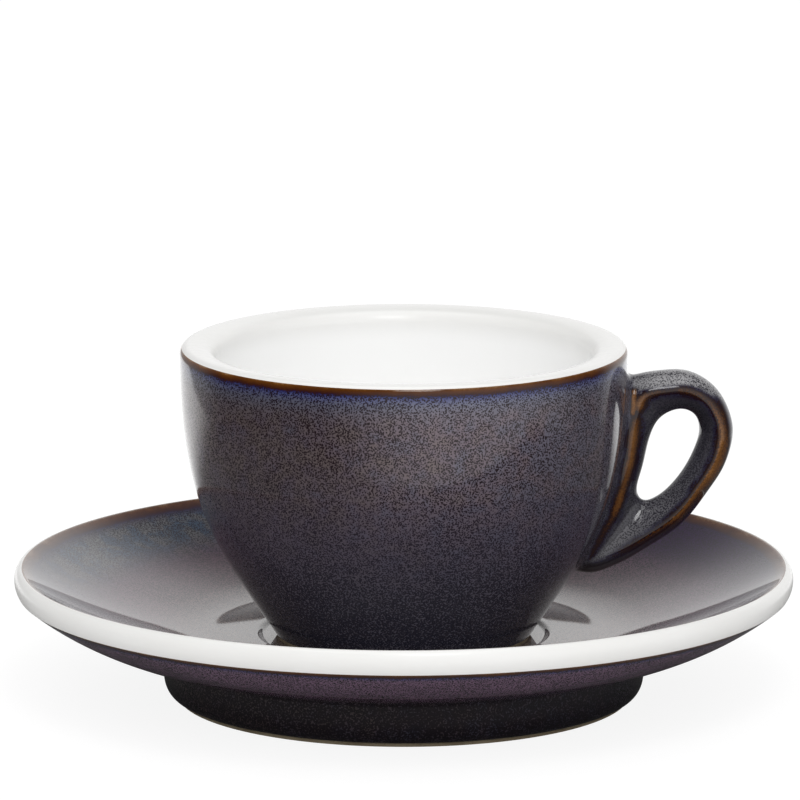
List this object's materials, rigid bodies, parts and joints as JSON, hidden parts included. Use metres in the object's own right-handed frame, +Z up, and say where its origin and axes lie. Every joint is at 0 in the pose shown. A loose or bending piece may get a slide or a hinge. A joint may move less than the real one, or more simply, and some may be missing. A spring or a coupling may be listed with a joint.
{
  "type": "espresso cup and saucer",
  "caption": "Thick-walled espresso cup with an ear handle, standing in the well of a footed saucer; dark speckled glaze with a white inside, lip and saucer edge.",
  "frame": {"origin": "centre of the saucer's foot, on the table", "axes": "+Z up along the axis of the cup and the saucer, +X towards the cup's handle"},
  "size_m": [0.115, 0.115, 0.0528],
  "materials": {
    "white_glaze": "glossy white glaze on porcelain, bare on the foot rings",
    "dark_glaze": "glossy reactive glaze, blue-grey with fine dark speckle, breaking brown at the edges",
    "handle_glaze": "the same reactive glaze, breaking amber on the ridges"
  },
  "bodies": {
    "saucer": {"saucer_body": "white_glaze", "saucer_top_glaze": "dark_glaze", "saucer_under_glaze": "dark_glaze", "saucer_base_glaze": "dark_glaze"},
    "cup": {"cup_body": "white_glaze", "cup_outer_glaze": "dark_glaze", "cup_base_glaze": "dark_glaze", "cup_handle": "handle_glaze"}
  },
  "joints": [
    {"name": "cup_lift", "type": "slide", "parent": "saucer", "child": "cup", "axis": [0, 0, 1], "range_m": [0, 0.04]}
  ]
}
